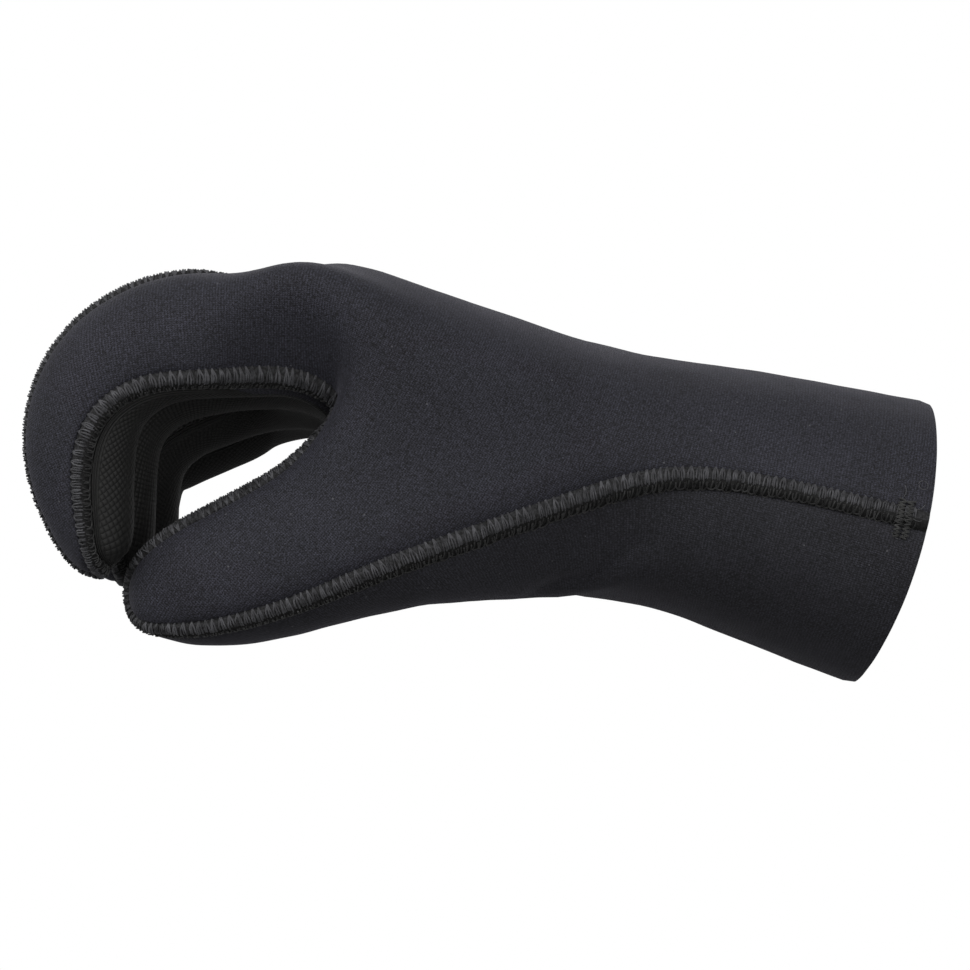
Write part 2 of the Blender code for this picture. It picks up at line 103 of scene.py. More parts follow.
VALLEY = 0.62  # height of the valleys between the finger bases, as a share
VALLEY_POWER = 4  # how late they open along the palm
DROP_POWER = 1.3  # how late across the palm the drop comes
RING = 20  # points round the sleeve: side, nine back, side, nine palm
DIGIT_RING = 8  # points round a finger: seam, three back, seam, three pad

# Fingers. Length is in millimetres, width and depth are shares of the room
# between the splits and of FINGER_DEPTH. Start, middle, tip and inward are
# degrees: where the finger points below -X at its base, how far its joints bend
# and how far it leans towards the thumb. Late puts off the middle joint's bend.
# Back_faces counts the faces round it that are back panel. Back_seam is where
# the seam away from the thumb lies, in degrees from the thumb side over the
# back, and pad_seam is the other seam's share of FINGER_SECTIONS' swing.
FINGERS = table(
    "Finger",
    "length width depth start middle tip inward late back_faces back_seam pad_seam",
    (90, 1.00, 1.00, 2.5, 86, 17, 0, 1.0, 3, 96, 1.0),  # index
    (86, 1.00, 1.00, 6, 84, 14, 1, 1.0, 4, 150, 0.4),  # middle
    (79, 0.98, 0.97, 16, 76, 14, 2, 1.3, 4, 160, 0.4),  # ring
    (69, 0.95, 0.84, 24, 66, 12, 4, 4.0, 4, 165, 0.4),  # little
)
# Rings along a finger. Along is a share of its length, middle and tip are how
# much of those joints' bends is done, width and depth are shares of the
# finger's own, turn is how far the seams have swung from its sides, and
# pad_seam is where the seam towards the thumb swings to, in degrees.
FINGER_SECTIONS = table(
    "FingerSection",
    "along middle tip width depth turn pad_seam",
    (0.12, 0.00, 0.0, 0.98, 1.12, 0.60, -42),
    (0.25, 0.14, 0.0, 1.00, 1.09, 1.00, -42),
    (0.38, 0.41, 0.0, 1.00, 1.07, 1.00, -32),
    (0.51, 0.70, 0.1, 0.98, 1.03, 1.00, -18),
    (0.63, 0.93, 0.4, 0.95, 0.97, 1.00, -5),
    (0.75, 1.00, 0.7, 0.92, 0.87, 1.00, 5),
    (0.86, 1.00, 1.0, 0.86, 0.71, 1.00, 14),
    (0.95, 1.00, 1.0, 0.72, 0.50, 1.00, 28),
)

# Rings along the thumb. Along is a share of THUMB_LENGTH, heading and lean are
# degrees below -X and off upright, depth and width are shares of the thumb's,
# and lower and upper are where its two seams lie, in degrees above its side.
THUMB_BASE = (0.813, 0.036)  # shares of HAND_LENGTH
THUMB_SIDE = -0.60  # share of half of PALM_WIDTH
THUMB_BACK_FACES = 4  # of the eight faces round the thumb
THUMB_SECTIONS = table(
    "ThumbSection",
    "along heading lean depth width lower upper",
    (0.000, 23.0, 36.6, 1.34, 1.10, -23, 80),
    (0.224, 19.8, 25.5, 1.12, 1.00, -27, 70),
    (0.423, 18.0, 19.8, 1.05, 0.97, -30, 64),
    (0.592, 14.0, 16.4, 0.965, 0.92, -32, 62),
    (0.742, 9.5, 13.0, 0.85, 0.84, -36, 62),
    (0.867, 10.3, 8.0, 0.65, 0.68, -42, 62),
    (0.951, -8.0, 4.0, 0.43, 0.48, -52, 60),
)

SMOOTHING_LEVELS = 1
FIT_ROUNDS = 1  # times the cage is corrected so that the skin meets the rings
FINE_LEVELS = 2  # further subdivisions, for the looks
TIGHTEST = 2 * MM  # half the room inside a fingertip, at least
TIGHT_REACH = (9 * MM, 24 * MM)  # distances from a tip, web or fold: tight, no longer tight
SEAM_PINCH = 0.6  # how far the seam's edge may go to the next points beside it
MITRE_LIMIT = 0.7  # least cosine by which a corner of the seam's edge is stretched

BACK, PALM, BACK_STRIP, PALM_STRIP, GRIP = range(5)

# Relief of the skin
SEAM_FULLNESS = 0.7  # power of the seam's cross-section, where 1 is a sine
SEAM_GROOVE = 0.35 * MM  # depth of the dip beside the seam
GROOVE_POWER = 6  # how closely the dip keeps to the seam's edge
WRINKLE = 0.30 * MM
WRINKLE_SIZE = 16 * MM
WRINKLE_LAYER = (2.3, 0.5)  # a second layer: how much finer, and its share
RIM_ROUND = 0.6 * MM  # how far the cut edges of the cuff are drawn in
SHARP_EDGE = 50  # degrees between faces, from which their edge is shaded sharp
# The fold below the wrist, as points on X and Z in millimetres
CREASE = ((-88, -11.5), (-83, -9.7), (-75, -8.6), (-70, -4.4), (-64, 0.7))
CREASE_DEPTH = 1.2 * MM
CREASE_WIDTH = 1.5 * MM

# Where the palm is embossed
GRIP_START = 0.5  # the embossing starts where the hand's rings have split this far
GRIP_SHARE = 0.5  # how much of a face has to be embossed to count
THUMB_GRIP = (4, 5, 6)  # embossed points round the thumb

# Threads of the seam. Places across it run from -1 at its palm edge to 1 at its
# back edge, places along it are shares of a stitch, and heights are shares of
# the thread's radius. Pairs in brackets are ranges that chance draws from.
STITCH = 1.9 * MM
STITCH_WIDTHS = (0.78, 1.22)  # shares of STITCH
COVER_THREAD = 0.21 * MM  # radius
COVER_START = 1.12
COVER_END = (-0.28, 0.02)
COVER_LEAN = (0.22, 0.38)  # of the two outer legs of a stitch
COVER_LEAN_DONE = 0.55  # share of a leg by which it has leant that far
COVER_STRAY = (-0.06, 0.06)
COVER_WAVER = (-0.04, 0.04)
COVER_PUFF = (0.5, 1.5)
COVER_POINTS = (0.0, 0.08, 0.22, 0.42, 0.64, 0.84, 1.0)
LOOP_THREAD = 0.17 * MM
LOOP_START = 0.32
LOOP_END = (0.82, 1.08)
LOOP_TILT = (-0.15, 0.15)
LOOP_WIDTH = 0.60
LOOP_BOW = (0.9, 0.8)  # how far it closes, and the power that makes it full
LOOP_TURN = 100  # degrees to either side of the loop's far end
LOOP_STEPS = 8
LOOP_RISE = 0.9  # at its start, and again as much by its end
LOOP_UNEVEN = (-0.2, 0.3)
SLANT = (0.1, 0.6)  # how far the thread across a loop runs along the seam
SLANT_REACH = (-0.2, -0.75)  # where it starts across the seam, and how far it goes
SLANT_POINTS = ((0, 0.2), (0.2, 1.2), (0.5, 1.3), (0.8, 1.2), (1, -0.4))  # share, height
BITE_THREAD = 0.13 * MM
BITE_PLACE = (1.16, 1.26)
BITE_POINTS = (-0.36, -0.2, 0, 0.2, 0.36)
BITE_ARCH = (0.6, 9)  # height of its middle, and how steeply its ends go down

# Bartacks and ends of thread
BARTACK_SETBACK = 4 * MM  # from the cuff rim
BARTACK_WIDTH = 4.2 * MM
BARTACK_LENGTH = 9.6 * MM
BARTACK_DROP = 0.9 * MM  # how far its middle lies below the seam's
BARTACK_ROWS = 10
BARTACK_EDGES = (0.47, 0.03)  # shares of its width from its middle to the turns
BARTACK_UNEVEN = (0.10 * MM, 0.15 * MM)  # along the rim, and away from it
BARTACK_THREAD = 0.25 * MM  # radius
BARTACK_HEIGHTS = (1.1, 1.8)  # of the turns, and of the arch between them
BARTACK_STEPS = 5  # points from turn to turn
PATCH_LIFT = CUFF_DEPTH / 4  # from how far outside a patch is laid onto the skin
STRAY_THREAD = 0.07 * MM
# Ends of thread: where they start below the seam and away from the rim, their
# heading from there in degrees and their length, in millimetres
STRAYS = (
    (-2.0, -2.3, 195, 3.0),
    (-4.6, 1.0, 250, 3.0),
    (0.5, -2.2, 150, 2.2),
    (4.9, 1.8, 120, 2.0),
)
STRAY_STEPS = 7
STRAY_BEND = 9  # degrees at each step
STRAY_HEIGHTS = (0.2, 0.06)  # millimetres at its start, and more at each step
CURL_MIDDLE = (-8.5, -3.0)  # millimetres, as for STRAYS
CURL_RADIUS = (1.0, 0.02)  # millimetres at its start, and more at each step
CURL_STEPS = 14
CURL_BEND = 25  # degrees at each step
CURL_HEIGHT = 0.25 * MM
SEED = 7

# Finishes. Scales are cells in a metre.
WALE = 0.68 * MM  # pitch of the knit's ribs, which run across the arm
COURSE = 0.50 * MM
COURSE_BEND = 0.9  # how far the courses dip between the ribs, in radians
KNIT_RELIEF = 0.09 * MM
KNIT_SHADE = (0.15, 0.75, 0.08, 1.0)  # heights, and the shades that they get: painted shade in the knit's grooves
FUZZ_SCALE = 2300.0
FUZZ_SHARE = 0.85  # the rest is slow patches
FUZZ_SHADE = (0.36, 0.66)
PATCH_SCALE = 45.0
LINT_SCALE = 190.0
LINT_SIZE = 0.045  # share of a cell
LINT_SHARE = 0.35
LINT_COLOUR = (0.14, 0.14, 0.15)
SHEEN_TINT = (0.62, 0.60, 0.72, 1)
GRIP_PITCH = 0.85 * MM
GRIP_RELIEF = 0.20 * MM
BORDER_RIDGES = 4  # fine ridges of the grip face along the seam
BORDER_BAND = (0.10, 0.35)  # where the squares give way to them
SHADES = {  # darkest and lightest
    "knit_neoprene": ((0.0055, 0.0053, 0.0068), (0.0385, 0.0390, 0.0530)),
    # palm_knit is the back's knit made darker: painted shade of the palm side, which faces down
    "palm_knit": ((0.004, 0.004, 0.005), (0.029, 0.029, 0.037)),
    "nylon_lining": ((0.006, 0.006, 0.007), (0.030, 0.030, 0.032)),
    "grip_neoprene": ((0.0022, 0.0022, 0.0022), (0.0130, 0.0130, 0.0122)),
    "foam_edge": ((0.004, 0.004, 0.004), (0.020, 0.020, 0.021)),
    # seam_bed_palm and loop_thread are the seam's bed and thread made darker on its palm half:
    # painted shade
    "seam_bed_back": ((0.005, 0.005, 0.005), (0.030, 0.030, 0.032)),
    "seam_bed_palm": ((0.002, 0.002, 0.002), (0.009, 0.009, 0.009)),
    "cover_thread": ((0.006, 0.006, 0.007), (0.066, 0.066, 0.072)),
    "loop_thread": ((0.003, 0.003, 0.003), (0.030, 0.030, 0.030)),
    "tack_thread": ((0.005, 0.005, 0.005), (0.034, 0.034, 0.033)),
    "lint": ((0.030, 0.030, 0.032), (0.090, 0.090, 0.095)),
}

# Camera, set so that a millimetre at the wrist's centre plane is 4 pixels
VIEW_CENTRE = Vector((-101.25, 0, 14.5)) * MM
VIEW_DISTANCE = 1.0
VIEW_WIDTH = 242.5 * MM

# Studio, in metres
SURROUND_RADIUS = 4.0
FLOOR_SIZE = 6.0
FLOOR_DEPTH = -0.8
SHADE_SIZE = 3.0
SHADE_DEPTH = -0.35  # height of the dark sheet that keeps the glove's underside dim
SHADE_COLOUR = (0.20, 0.20, 0.20, 1)
SKY = 0.5
WHITE = (1, 1, 1, 1)
LIGHTS = (
    # name, place from the view's centre, size, watts
    ("key", (-0.5, -0.9, 0.8), 0.8, 10.5),
    ("fill", (0.5, -1.0, 0.0), 0.9, 6.0),
    ("rim", (-0.3, 0.9, 0.8), 0.8, 2.5),
    ("side", (-1.2, -0.2, 0.4), 0.5, 3.0),
)


def digit_grid():
    """Places across the palm of the nine points between the side seams."""
    places = []
    for left, right in zip(FINGER_SPLITS, FINGER_SPLITS[1:]):
        places += [left, (left + right) / 2]
    return [-SIDES[0]] + places[1:] + [SIDES[1]]


def hand_angles(section):
    """Degrees round the ring of its points, over the back from the thumb-side seam."""
    half = RING // 2
    back = [section.seam + (180 - section.seam) * n / half for n in range(half)]
    palm = [180 + (180 + section.heel) * n / (half - 1) for n in range(half)]
    for n, across in enumerate(digit_grid(), start=1):
        split = math.degrees(math.acos(math.copysign(abs(across) ** (section.square / 2), -across)))
        back[n] += (split - back[n]) * section.digits
        if n > 2:
            palm[half - n] += (360 - split - palm[half - n]) * section.digits
    middle = (palm[half - 3] + 360 + section.heel) / 2
    palm[half - 2] += (middle - palm[half - 2]) * section.digits
    return back + palm


def spread(value, squareness):
    """A sine or cosine, moved out onto a rounded box of this squareness."""
    return math.copysign(abs(value) ** (2 / squareness), value)


def hand_ring(section, wall):
    """The ring's points, starting at the thumb-side seam and going over the back."""
    centre = Vector((-section.along, 0, section.rise)) * HAND_LENGTH
    half_width = section.width * PALM_WIDTH / 2 - wall
    half_depth = section.depth * CUFF_DEPTH / 2 - wall
    lean = math.radians(section.lean)
    up = Vector((math.sin(lean), 0, math.cos(lean)))
    valleys = [side * (2 * n + 1) % RING for n in range(1, len(FINGERS)) for side in (1, -1)]
    points = []
    for n, angle in enumerate(hand_angles(section)):
        across = -spread(math.cos(math.radians(angle)), section.square)
        height = spread(math.sin(math.radians(angle)), section.square)
        if n in valleys:
            height *= 1 - (1 - VALLEY) * section.digits**VALLEY_POWER
        ulnar = (across + 1) / 2 * section.drop
        drop = LITTLE_DROP * ulnar**DROP_POWER
        shift = Vector((LITTLE_SLANT * ulnar, across * half_width, -drop))
        if section.along == 0:
            shift += Vector((up.z, 0, -up.x)) * CUFF_BOW * across**2
        if n >= RING - 2:
            ball = section.ball * (1 if n == RING - 1 else BALL_SPREAD)
            shift.z -= ball * CUFF_DEPTH
        points.append(centre + shift + up * height * half_depth)
    return points


def heading_vector(heading, inward=0):
    """The way these many degrees below -X, and towards the thumb side."""
    down, aside = math.radians(heading), math.radians(inward)
    return Vector((-math.cos(down) * math.cos(aside), -math.sin(aside), -math.sin(down)))


def digit_ring(centre, along, half_width, half_depth, seams, back_faces):
    """Eight points round a digit. Angle 0 is towards the thumb side, and 90 is the back."""
    side = Vector((0, -1, 0))
    back = along.cross(side).normalized()
    side = back.cross(along).normalized()
    first, second = seams
    points = []
    for n in range(DIGIT_RING):
        if n <= back_faces:
            angle = first + (second - first) * n / back_faces
        else:
            pad_share = (n - back_faces) / (DIGIT_RING - back_faces)
            angle = second + (360 + first - second) * pad_share
        angle = math.radians(angle)
        across = side * math.cos(angle) * half_width
        points.append(centre + across + back * math.sin(angle) * half_depth)
    return points


def finger_rings(finger, room, base, first_seam, wall):
    """Rings of one finger and its tip point.

    Base is the middle of its first ring, and first_seam is where the seam
    nearest the thumb lies there.
    """
    length = finger.length * MM
    half_width = (room - FINGER_GAP) / 2 * finger.width
    half_depth = FINGER_DEPTH / 2 * finger.depth
    side_seam = 360 / DIGIT_RING * finger.back_faces
    rings = []
    point, reached, heading = base.copy(), 0.0, finger.start
    for section in FINGER_SECTIONS:
        bent = finger.middle * section.middle**finger.late + finger.tip * section.tip
        next_heading = finger.start + bent
        for part in (heading, next_heading):
            along = heading_vector(part, finger.inward).normalized()
            point = point + along * (section.along - reached) * length / 2
        reached, heading = section.along, next_heading
        wide = max(half_width * section.width - wall, TIGHTEST)
        deep = max(half_depth * section.depth - wall, TIGHTEST)
        seams = (
            first_seam + (section.pad_seam * finger.pad_seam - first_seam) * section.turn,
            side_seam + (finger.back_seam - side_seam) * section.turn,
        )
        rings.append(digit_ring(point, along, wide, deep, seams, finger.back_faces))
    return rings, point + along * ((1 - reached) * length - wall)


def thumb_rings(wall):
    """Rings of the thumb and its tip point."""
    point = Vector((-THUMB_BASE[0], 0, THUMB_BASE[1])) * HAND_LENGTH
    point.y = THUMB_SIDE * PALM_WIDTH / 2
    rings = []
    reached, heading = 0.0, THUMB_SECTIONS[0].heading
    for section in THUMB_SECTIONS:
        point = point + heading_vector(heading) * (section.along - reached) * THUMB_LENGTH
        reached, heading = section.along, section.heading
        wide = THUMB_WIDTH / 2 * section.width - wall
        deep = THUMB_DEPTH / 2 * section.depth - wall
        seams = section.lower, section.upper
        along = heading_vector(section.lean)
        rings.append(digit_ring(point, along, wide, deep, seams, THUMB_BACK_FACES))
    return rings, point + heading_vector(heading) * ((1 - reached) * THUMB_LENGTH - wall)


class Cage:
    """The coarse cage under construction: its points and its faces by panel."""

    def __init__(self):
        self.points, self.faces, self.panels = [], [], []
        self.grips, self.tips, self.webs = [], [], []

    def add(self, point):
        self.points.append(point)
        return len(self.points) - 1

    def add_face(self, corners, panel):
        self.faces.append(corners)
        self.panels.append(panel)

    def join(self, near, far, back_faces):
        """Quads between two rings, but none where a ring lacks a point."""
        for n, corners in enumerate(zip(near, near[1:] + near[:1], far[1:] + far[:1], far)):
            if None not in corners:
                self.add_face(corners, BACK if n < back_faces else PALM)

    def digit(self, base, rings, tip, back_faces):
        """A finger or thumb from its base ring, closed by a few faces round its tip point."""
        near = base
        for ring in rings:
            far = [self.add(point) for point in ring]
            self.join(near, far, back_faces)
            near = far
        self.tips.append(tip)
        tip = self.add(tip)
        for start, end, panel in ((0, back_faces, BACK), (back_faces, DIGIT_RING, PALM)):
            while start < end:
                step = 3 if end - start == 3 else 2
                corners = [near[n % DIGIT_RING] for n in range(start, start + step + 1)]
                self.add_face([tip] + corners, panel)
                start += step


def build_hand(cage, wall):
    """Adds the sleeve and palm, and returns each ring's point numbers.

    The rings between which the thumb leaves lack their first point.
    """
    first, last = THUMB_RINGS
    rings = []
    for number, section in enumerate(HAND_SECTIONS):
        in_hole = first < number < last
        points = hand_ring(section, wall)
        rings.append([None if in_hole and n == 0 else cage.add(p) for n, p in enumerate(points)])
        if section.digits > GRIP_START:
            cage.grips += rings[-1][RING // 2 + 1 :]
    for near, far in zip(rings, rings[1:]):
        cage.join(near, far, RING // 2)
    return rings


def build_fingers(cage, last_ring, wall):
    """Adds the webs and the four fingers to the palm's last ring."""
    ring = [cage.points[n] for n in last_ring]
    webs = []
    for split in range(3, 2 * len(FINGERS), 2):
        middle = (ring[split] + ring[RING - split]) / 2
        webs.append(cage.add(middle + Vector((wall - WEB_REACH, 0, 0))))
    cage.webs = [cage.points[n] for n in webs]
    sides = [last_ring[0]] + webs + [last_ring[RING // 2]]
    first_seam = HAND_SECTIONS[-1].seam
    for number, finger in enumerate(FINGERS):
        left, right = 2 * number + 1, 2 * number + 3
        base = [sides[number]] + [last_ring[n] for n in range(left, right + 1)]
        base += [sides[number + 1]] + [last_ring[RING - n] for n in range(right, left - 1, -1)]
        middle = (ring[left + 1] + ring[RING - left - 1]) / 2
        near, far = FINGER_SPLITS[number : number + 2]
        middle.y = (far + near) * PALM_WIDTH / 4
        start = len(cage.points)
        rings, tip = finger_rings(finger, (far - near) * PALM_WIDTH / 2, middle, first_seam, wall)
        cage.digit(base, rings, tip, finger.back_faces)
        cage.grips += range(start, len(cage.points))
        first_seam = 0


def build_thumb(cage, rings, wall):
    first, last = THUMB_RINGS
    hole = rings[first : last + 1]
    base = [hole[0][0]] + [ring[1] for ring in hole]
    base += [hole[-1][0]] + [ring[-1] for ring in reversed(hole)]
    start = len(cage.points)
    cage.digit(base, *thumb_rings(wall), THUMB_BACK_FACES)
    for number in range(start, len(cage.points)):
        if (number - start) % DIGIT_RING in THUMB_GRIP:
            cage.grips.append(number)


def build_cage(wall):
    """The cage of the surface that lies this far inside the glove, and its rings."""
    cage = Cage()
    rings = build_hand(cage, wall)
    build_fingers(cage, rings[-1], wall)
    build_thumb(cage, rings, wall)
    return cage, rings


def add_object(name, data):
    obj = bpy.data.objects.new(name, data)
    bpy.context.scene.collection.objects.link(obj)
    return obj


def subdivided(mesh, levels):
    obj = add_object("fine", mesh)
    subdivision = obj.modifiers.new("fine", "SUBSURF")
    subdivision.levels = subdivision.render_levels = levels
    bpy.context.view_layer.update()
    graph = bpy.context.evaluated_depsgraph_get()
    fine = bpy.data.meshes.new_from_object(obj.evaluated_get(graph))
    bpy.data.objects.remove(obj)
    return fine


def smooth_skin(cage):
    """The subdivided skin. The cage is corrected until the skin passes through its rings."""
    mesh = bpy.data.meshes.new("cage")
    mesh.from_pydata([tuple(p) for p in cage.points], [], cage.faces)
    mesh.polygons.foreach_set("material_index", cage.panels)
    mark(mesh, "grip", cage.grips)
    for _ in range(FIT_ROUNDS):
        skin = subdivided(mesh, SMOOTHING_LEVELS)
        for vertex, wanted in zip(mesh.vertices, cage.points):
            vertex.co += wanted - skin.vertices[vertex.index].co
        mesh.update()
    return subdivided(mesh, SMOOTHING_LEVELS)


def line_skin(mesh, narrow_mesh, tight):
    """A copy of the skin, inside the wall.

    It follows the smaller cage near the tight points, where normals would cross.
    """
    start, end = TIGHT_REACH
    lining = mesh.copy()
    for vert, outer, narrow in zip(lining.vertices, mesh.vertices, narrow_mesh.vertices):
        distance = min((outer.co - point).length for point in tight)
        share = min(max((end - distance) / (end - start), 0), 1)
        vert.co = (outer.co - outer.normal * WALL).lerp(narrow.co, share)
    lining.update()
    return lining


def reach_inward(vert, region):
    """How a corner of a region leaves its seam: direction, stretch and the ways ahead."""
    faces = [face for face in vert.link_faces if face in region]
    normal = sum((face.normal for face in faces), Vector()).normalized()
    aside, ahead, rim = [], [], None
    for edge in vert.link_edges:
        own = [face for face in edge.link_faces if face in region]
        if not own:
            continue
        way = edge.other_vert(vert).co - vert.co
        if len(own) == 1 and not edge.is_boundary:
            across = normal.cross(way).normalized()
            inward = across.dot(own[0].calc_center_median() - vert.co) > 0
            aside.append(across if inward else -across)
            continue
        ahead.append(way)
        if edge.is_boundary:
            rim = way.normalized()
    direction = rim or sum(aside, Vector()).normalized()
    if not ahead:
        ahead = [faces[0].calc_center_median() - vert.co]
    return direction, 1 / max(direction.dot(aside[0]), MITRE_LIMIT), ahead


def inset(skin, panel, width):
    """Narrows a panel by width along its seams, and returns the faces left beside it."""
    faces = [face for face in skin.faces if face.material_index == panel]
    strips = bmesh.ops.inset_region(skin, faces=faces, thickness=0, use_boundary=False)["faces"]
    region = set(faces)
    skin.normal_update()
    edge_verts = {v for f in faces for v in f.verts} & {v for f in strips for v in f.verts}
    moved = {}
    for vert in edge_verts:
        direction, stretch, ahead = reach_inward(vert, region)
        room = min(max(step.dot(direction), 0) for step in ahead)
        moved[vert] = vert.co + direction * min(width * stretch, room * SEAM_PINCH)
    for vert, point in moved.items():
        vert.co = point
    return strips


def mark(mesh, name, numbers):
    """A point attribute that is 1 on these points and 0 elsewhere."""
    layer = mesh.attributes.get(name) or mesh.attributes.new(name, "FLOAT", "POINT")
    for number in numbers:
        layer.data[number].value = 1


def values(mesh, name):
    return [item.value for item in mesh.attributes[name].data]


def divide(mesh, seam_width):
    """Divides a skin into two panels with half of the seam beside each.

    The attribute ridge is 1 along the middle of the seam, and border is 1 along
    its edges.
    """
    skin = bmesh.new()
    skin.from_mesh(mesh)
    strips = [inset(skin, panel, seam_width / 2) for panel in (BACK, PALM)]
    for faces, kind in zip(strips, (BACK_STRIP, PALM_STRIP)):
        for face in faces:
            face.material_index = kind
    skin.verts.index_update()
    near, far = ({vert for face in faces for vert in face.verts} for faces in strips)
    ridge = [vert.index for vert in near & far]
    border = [vert.index for vert in near ^ far]
    skin.to_mesh(mesh)
    skin.free()
    mark(mesh, "ridge", ridge)
    mark(mesh, "border", border)
    return mesh


def unwrap(mesh):
    """Lays the four kinds of faces flat in the UV map flat."""
    mesh.uv_layers.new(name="flat")
    cut = bmesh.new()
    cut.from_mesh(mesh)
    for edge in cut.edges:
        edge.seam = len({face.material_index for face in edge.link_faces}) > 1
    cut.to_mesh(mesh)
    cut.free()
    obj = add_object("flat_pattern", mesh)
    bpy.context.view_layer.objects.active = obj
    bpy.ops.object.mode_set(mode="EDIT")
    bpy.ops.mesh.select_all(action="SELECT")
    bpy.ops.uv.unwrap(method="ANGLE_BASED", margin=0)
    bpy.ops.object.mode_set(mode="OBJECT")
    bpy.data.objects.remove(obj)


def lay_flat(mesh):
    """Unwraps the panels as they were cut from the sheet, in metres, with u along the arm."""
    unwrap(mesh)
    layer = mesh.uv_layers["flat"].data
    for kind in (BACK, PALM, BACK_STRIP, PALM_STRIP):
        faces = [face for face in mesh.polygons if face.material_index == kind]
        real = flat = turn_u = turn_v = 0.0
        for face in faces:
            a, b, c = (mesh.vertices[n].co for n in face.vertices[:3])
            ua, ub, uc = (layer[n].uv for n in face.loop_indices[:3])
            first, second = ub - ua, uc - ua
            area = first.x * second.y - first.y * second.x
            if area:
                real += (b - a).cross(c - a).length
                flat += abs(area)
                turn_u += ((b - a) * second.y - (c - a) * first.y).x * math.copysign(1, area)
                turn_v += ((c - a) * first.x - (b - a) * second.x).x * math.copysign(1, area)
        scale = math.sqrt(real / flat)
        angle = -math.atan2(turn_v, turn_u)
        cosine, sine = math.cos(angle) * scale, math.sin(angle) * scale
        for face in faces:
            for n in face.loop_indices:
                u, v = layer[n].uv
                layer[n].uv = (u * cosine - v * sine, u * sine + v * cosine)
    return mesh


def smooth_step(value):
    value = min(max(value, 0), 1)
    return value * value * (3 - 2 * value)


def crease_distance(point):
    """How far a point lies from the fold at the wrist, seen from the thumb side."""
    here = Vector((point.x, point.z))
    ends = [Vector(corner) * MM for corner in CREASE]
    distances = []
    for start, end in zip(ends, ends[1:]):
        way = end - start
        share = min(max((here - start).dot(way) / way.dot(way), 0), 1)
        distances.append((here - start - way * share).length)
    return min(distances)


def raise_relief(mesh, webs):
    """Raises the seam, dips the skin beside it and adds the soft unevenness of foam."""
    finer, weaker = WRINKLE_LAYER
    points = []
    for vert, ridge, border in zip(mesh.vertices, values(mesh, "ridge"), values(mesh, "border")):
        room = smooth_step(min((vert.co - web).length for web in webs) / WEB_FLAT)
        height = SEAM_RISE * math.sin(ridge * math.pi / 2) ** SEAM_FULLNESS * room
        height -= SEAM_GROOVE * border**GROOVE_POWER * room
        uneven = noise.noise(vert.co / WRINKLE_SIZE)
        uneven += weaker * noise.noise(vert.co * finer / WRINKLE_SIZE)
        height += WRINKLE * uneven * (1 - border) * (1 - ridge)
        if vert.co.y < 0:
            height -= CREASE_DEPTH * math.exp(-((crease_distance(vert.co) / CREASE_WIDTH) ** 2))
        points.append(vert.co + vert.normal * height)
    for vert, point in zip(mesh.vertices, points):
        vert.co = point
    mesh.update()


def round_rim(mesh, distance):
    """Moves the cuff's edge along its normals, so that the cut rim looks rounded."""
    uses = Counter(key for face in mesh.polygons for key in face.edge_keys)
    rim = {number for key, count in uses.items() if count == 1 for number in key}
    for number, normal in [(n, mesh.vertices[n].normal.copy()) for n in rim]:
        mesh.vertices[number].co += normal * distance
    mesh.update()


def part_off_grip(mesh):
    """Makes the embossed faces of the palm a kind of their own."""
    grip = values(mesh, "grip")
    for face in mesh.polygons:
        share = sum(grip[n] for n in face.vertices) / len(face.vertices)
        if face.material_index == PALM and share > GRIP_SHARE:
            face.material_index = GRIP


def panel_solid(name, outer, inner, kinds, materials):
    """A closed wall from the outer skin's faces of these kinds to the same faces inside."""
    faces = [face for face in outer.polygons if face.material_index in kinds]
    numbers = sorted({n for face in faces for n in face.vertices})
    place = {number: n for n, number in enumerate(numbers)}
    count = len(numbers)
    flat = outer.uv_layers["flat"].data
    polygons, uvs, slots, sides = [], [], [], {}
    for face in faces:
        corners = [place[n] for n in face.vertices]
        corner_uvs = [flat[n].uv[:] for n in face.loop_indices]
        sides.update(zip(zip(corners, corners[1:] + corners[:1]), corner_uvs))
        polygons += [corners, [n + count for n in reversed(corners)]]
        uvs += corner_uvs + corner_uvs[::-1]
        slots += [kinds.index(face.material_index), len(kinds)]
    for (a, b), uv in sides.items():
        if (b, a) not in sides:
            polygons.append([b, a, a + count, b + count])
            uvs += [uv] * 4
            slots.append(len(kinds) + 1)
    mesh = bpy.data.meshes.new(name)
    points = [skin.vertices[n].co[:] for skin in (outer, inner) for n in numbers]
    mesh.from_pydata(points, [], polygons)
    mesh.uv_layers.new(name="flat").data.foreach_set("uv", [part for uv in uvs for part in uv])
    mesh.polygons.foreach_set("material_index", slots)
    border = values(outer, "border")
    store = mesh.attributes.new("border", "FLOAT", "POINT")
    store.data.foreach_set("value", [border[n] for n in numbers] * 2)
    for material in materials:
        mesh.materials.append(material)
    mesh.shade_smooth()
    mesh.set_sharp_from_angle(angle=math.radians(SHARP_EDGE))
    return mesh


def dress(data, slot, *nodes):
    """Puts a finished piece into the scene, in place of the model's nodes."""
    obj = add_object(data.name, data)
    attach(obj, "root")
    if nodes:
        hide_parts(*nodes)


Row = namedtuple("Row", "points normals reach")


